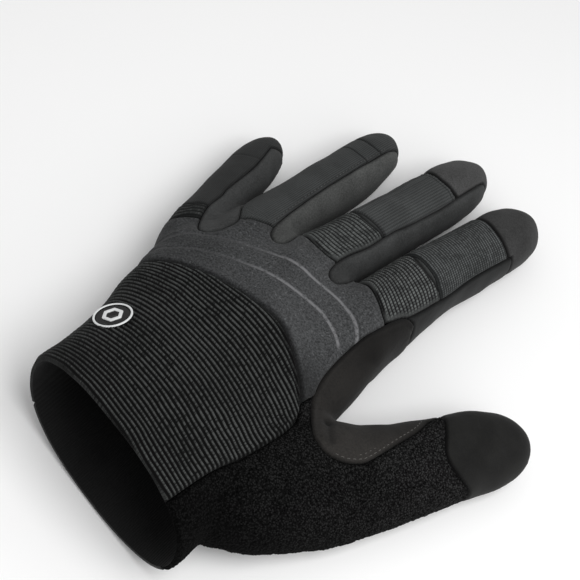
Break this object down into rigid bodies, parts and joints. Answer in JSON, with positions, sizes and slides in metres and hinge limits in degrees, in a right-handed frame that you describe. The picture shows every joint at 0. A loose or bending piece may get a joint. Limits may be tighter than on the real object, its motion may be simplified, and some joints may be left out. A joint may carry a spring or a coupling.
{
  "type": "tactical work glove",
  "caption": "Left-hand work glove lying on its palm: ribbed elastic back, padded knuckle panel, elastic finger backs, towelling thumb side, open cuff.",
  "frame": {"origin": "middle of the footprint, on the surface that the glove lies on", "axes": "+Y from the cuff to the fingertips, +X towards the thumb, +Z out of the back of the hand"},
  "size_m": [0.1776, 0.2552, 0.0571],
  "materials": {
    "palm_microfibre": "dark synthetic leather, matt, very fine nap",
    "tip_microfibre": "smooth synthetic leather, matt with a slight sheen",
    "saddle_microfibre": "smooth synthetic leather with a rolled, stitched edge",
    "side_microfibre": "soft charcoal microfibre, matt",
    "terry": "black loop-pile towelling",
    "ribbed_elastic": "black knitted elastic with narrow crosswise ribs",
    "foam_suede": "charcoal foam-backed suede cloth with two pressed lines",
    "finger_elastic": "charcoal knitted elastic with a square grid of ribs",
    "finger_knit": "charcoal fine knit",
    "badge_rubber": "black moulded rubber, satin",
    "badge_white": "pale grey moulded rubber, satin"
  },
  "bodies": {
    "root": {"palm_panel": "palm_microfibre", "thumb_tip_cap": "tip_microfibre", "thumb_saddle": "saddle_microfibre", "thumb_panel": "terry", "back_panel": "ribbed_elastic", "knuckle_panel": "foam_suede", "fourchette_little_ring": "side_microfibre", "fourchette_ring_middle": "side_microfibre", "fourchette_middle_index": "side_microfibre", "index_tip_cap": "tip_microfibre", "middle_tip_cap": "tip_microfibre", "ring_tip_cap": "finger_knit", "index_back": "finger_elastic", "middle_back": "finger_elastic", "ring_back": "finger_knit", "little_back": "side_microfibre", "index_knuckle_band": "finger_elastic", "middle_knuckle_band": "finger_elastic", "little_knuckle_band": "finger_elastic", "badge_disc": "badge_rubber", "badge_ring": "badge_white", "badge_mark": "badge_white"}
  },
  "joints": []
}
